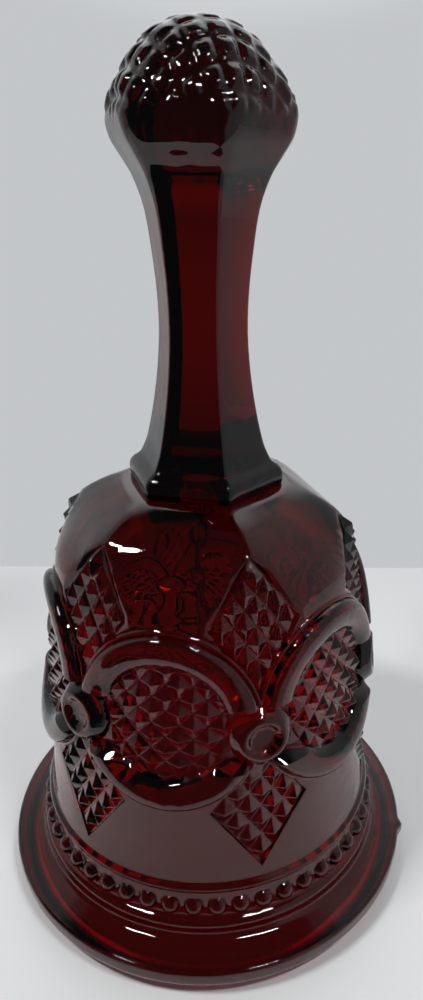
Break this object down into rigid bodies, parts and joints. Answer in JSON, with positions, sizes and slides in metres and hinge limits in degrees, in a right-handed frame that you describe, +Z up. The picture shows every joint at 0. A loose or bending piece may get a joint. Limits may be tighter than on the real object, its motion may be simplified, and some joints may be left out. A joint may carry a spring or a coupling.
{
  "type": "glass bell",
  "caption": "Pressed ruby glass table bell with a six-sided handle, ring and diamond relief, and a ball clapper on a short chain.",
  "frame": {"origin": "on the bell's axis, at the plane of the foot that it stands on", "axes": "+Z up along the bell's axis, from the foot to the knob; -Y out through the middle of one of the six rings, +X out through one of the six bosses"},
  "size_m": [0.0896, 0.0896, 0.1664],
  "materials": {
    "ruby_glass": "polished",
    "cement": "matte",
    "gold_tone_metal": "polished"
  },
  "bodies": {
    "bell": {"glass_bell": "ruby_glass", "crown_plug": "cement", "hanger_eye": "gold_tone_metal"},
    "link_1": {"chain_link_1": "gold_tone_metal"},
    "link_2": {"chain_link_2": "gold_tone_metal"},
    "link_3": {"chain_link_3": "gold_tone_metal"},
    "link_4": {"chain_link_4": "gold_tone_metal"},
    "link_5": {"chain_link_5": "gold_tone_metal"},
    "link_6": {"chain_link_6": "gold_tone_metal"},
    "link_7": {"chain_link_7": "gold_tone_metal"},
    "link_8": {"chain_link_8": "gold_tone_metal"},
    "clapper": {"clapper_pin": "gold_tone_metal", "clapper_ball": "gold_tone_metal"}
  },
  "joints": [
    {"name": "link_1_swing", "type": "hinge", "parent": "bell", "child": "link_1", "pos_m": [0, 0, 0.0758], "axis": [1, 0, 0], "range_deg": [-27, 27]},
    {"name": "link_2_swing", "type": "hinge", "parent": "link_1", "child": "link_2", "pos_m": [0, 0, 0.0708], "axis": [0, 1, 0], "range_deg": [-30, 30]},
    {"name": "link_3_swing", "type": "hinge", "parent": "link_2", "child": "link_3", "pos_m": [0, 0, 0.0658], "axis": [-1, 0, 0], "range_deg": [-34, 34]},
    {"name": "link_4_swing", "type": "hinge", "parent": "link_3", "child": "link_4", "pos_m": [0, 0, 0.0608], "axis": [0, -1, 0], "range_deg": [-40, 40]},
    {"name": "link_5_swing", "type": "hinge", "parent": "link_4", "child": "link_5", "pos_m": [0, 0, 0.0558], "axis": [1, 0, 0], "range_deg": [-45, 45]},
    {"name": "link_6_swing", "type": "hinge", "parent": "link_5", "child": "link_6", "pos_m": [0, 0, 0.0508], "axis": [0, 1, 0], "range_deg": [-45, 45]},
    {"name": "link_7_swing", "type": "hinge", "parent": "link_6", "child": "link_7", "pos_m": [0, 0, 0.0458], "axis": [-1, 0, 0], "range_deg": [-45, 45]},
    {"name": "link_8_swing", "type": "hinge", "parent": "link_7", "child": "link_8", "pos_m": [0, 0, 0.0408], "axis": [0, -1, 0], "range_deg": [-45, 45]},
    {"name": "clapper_swing", "type": "hinge", "parent": "link_8", "child": "clapper", "pos_m": [0, 0, 0.0358], "axis": [1, 0, 0], "range_deg": [-45, 45]}
  ]
}
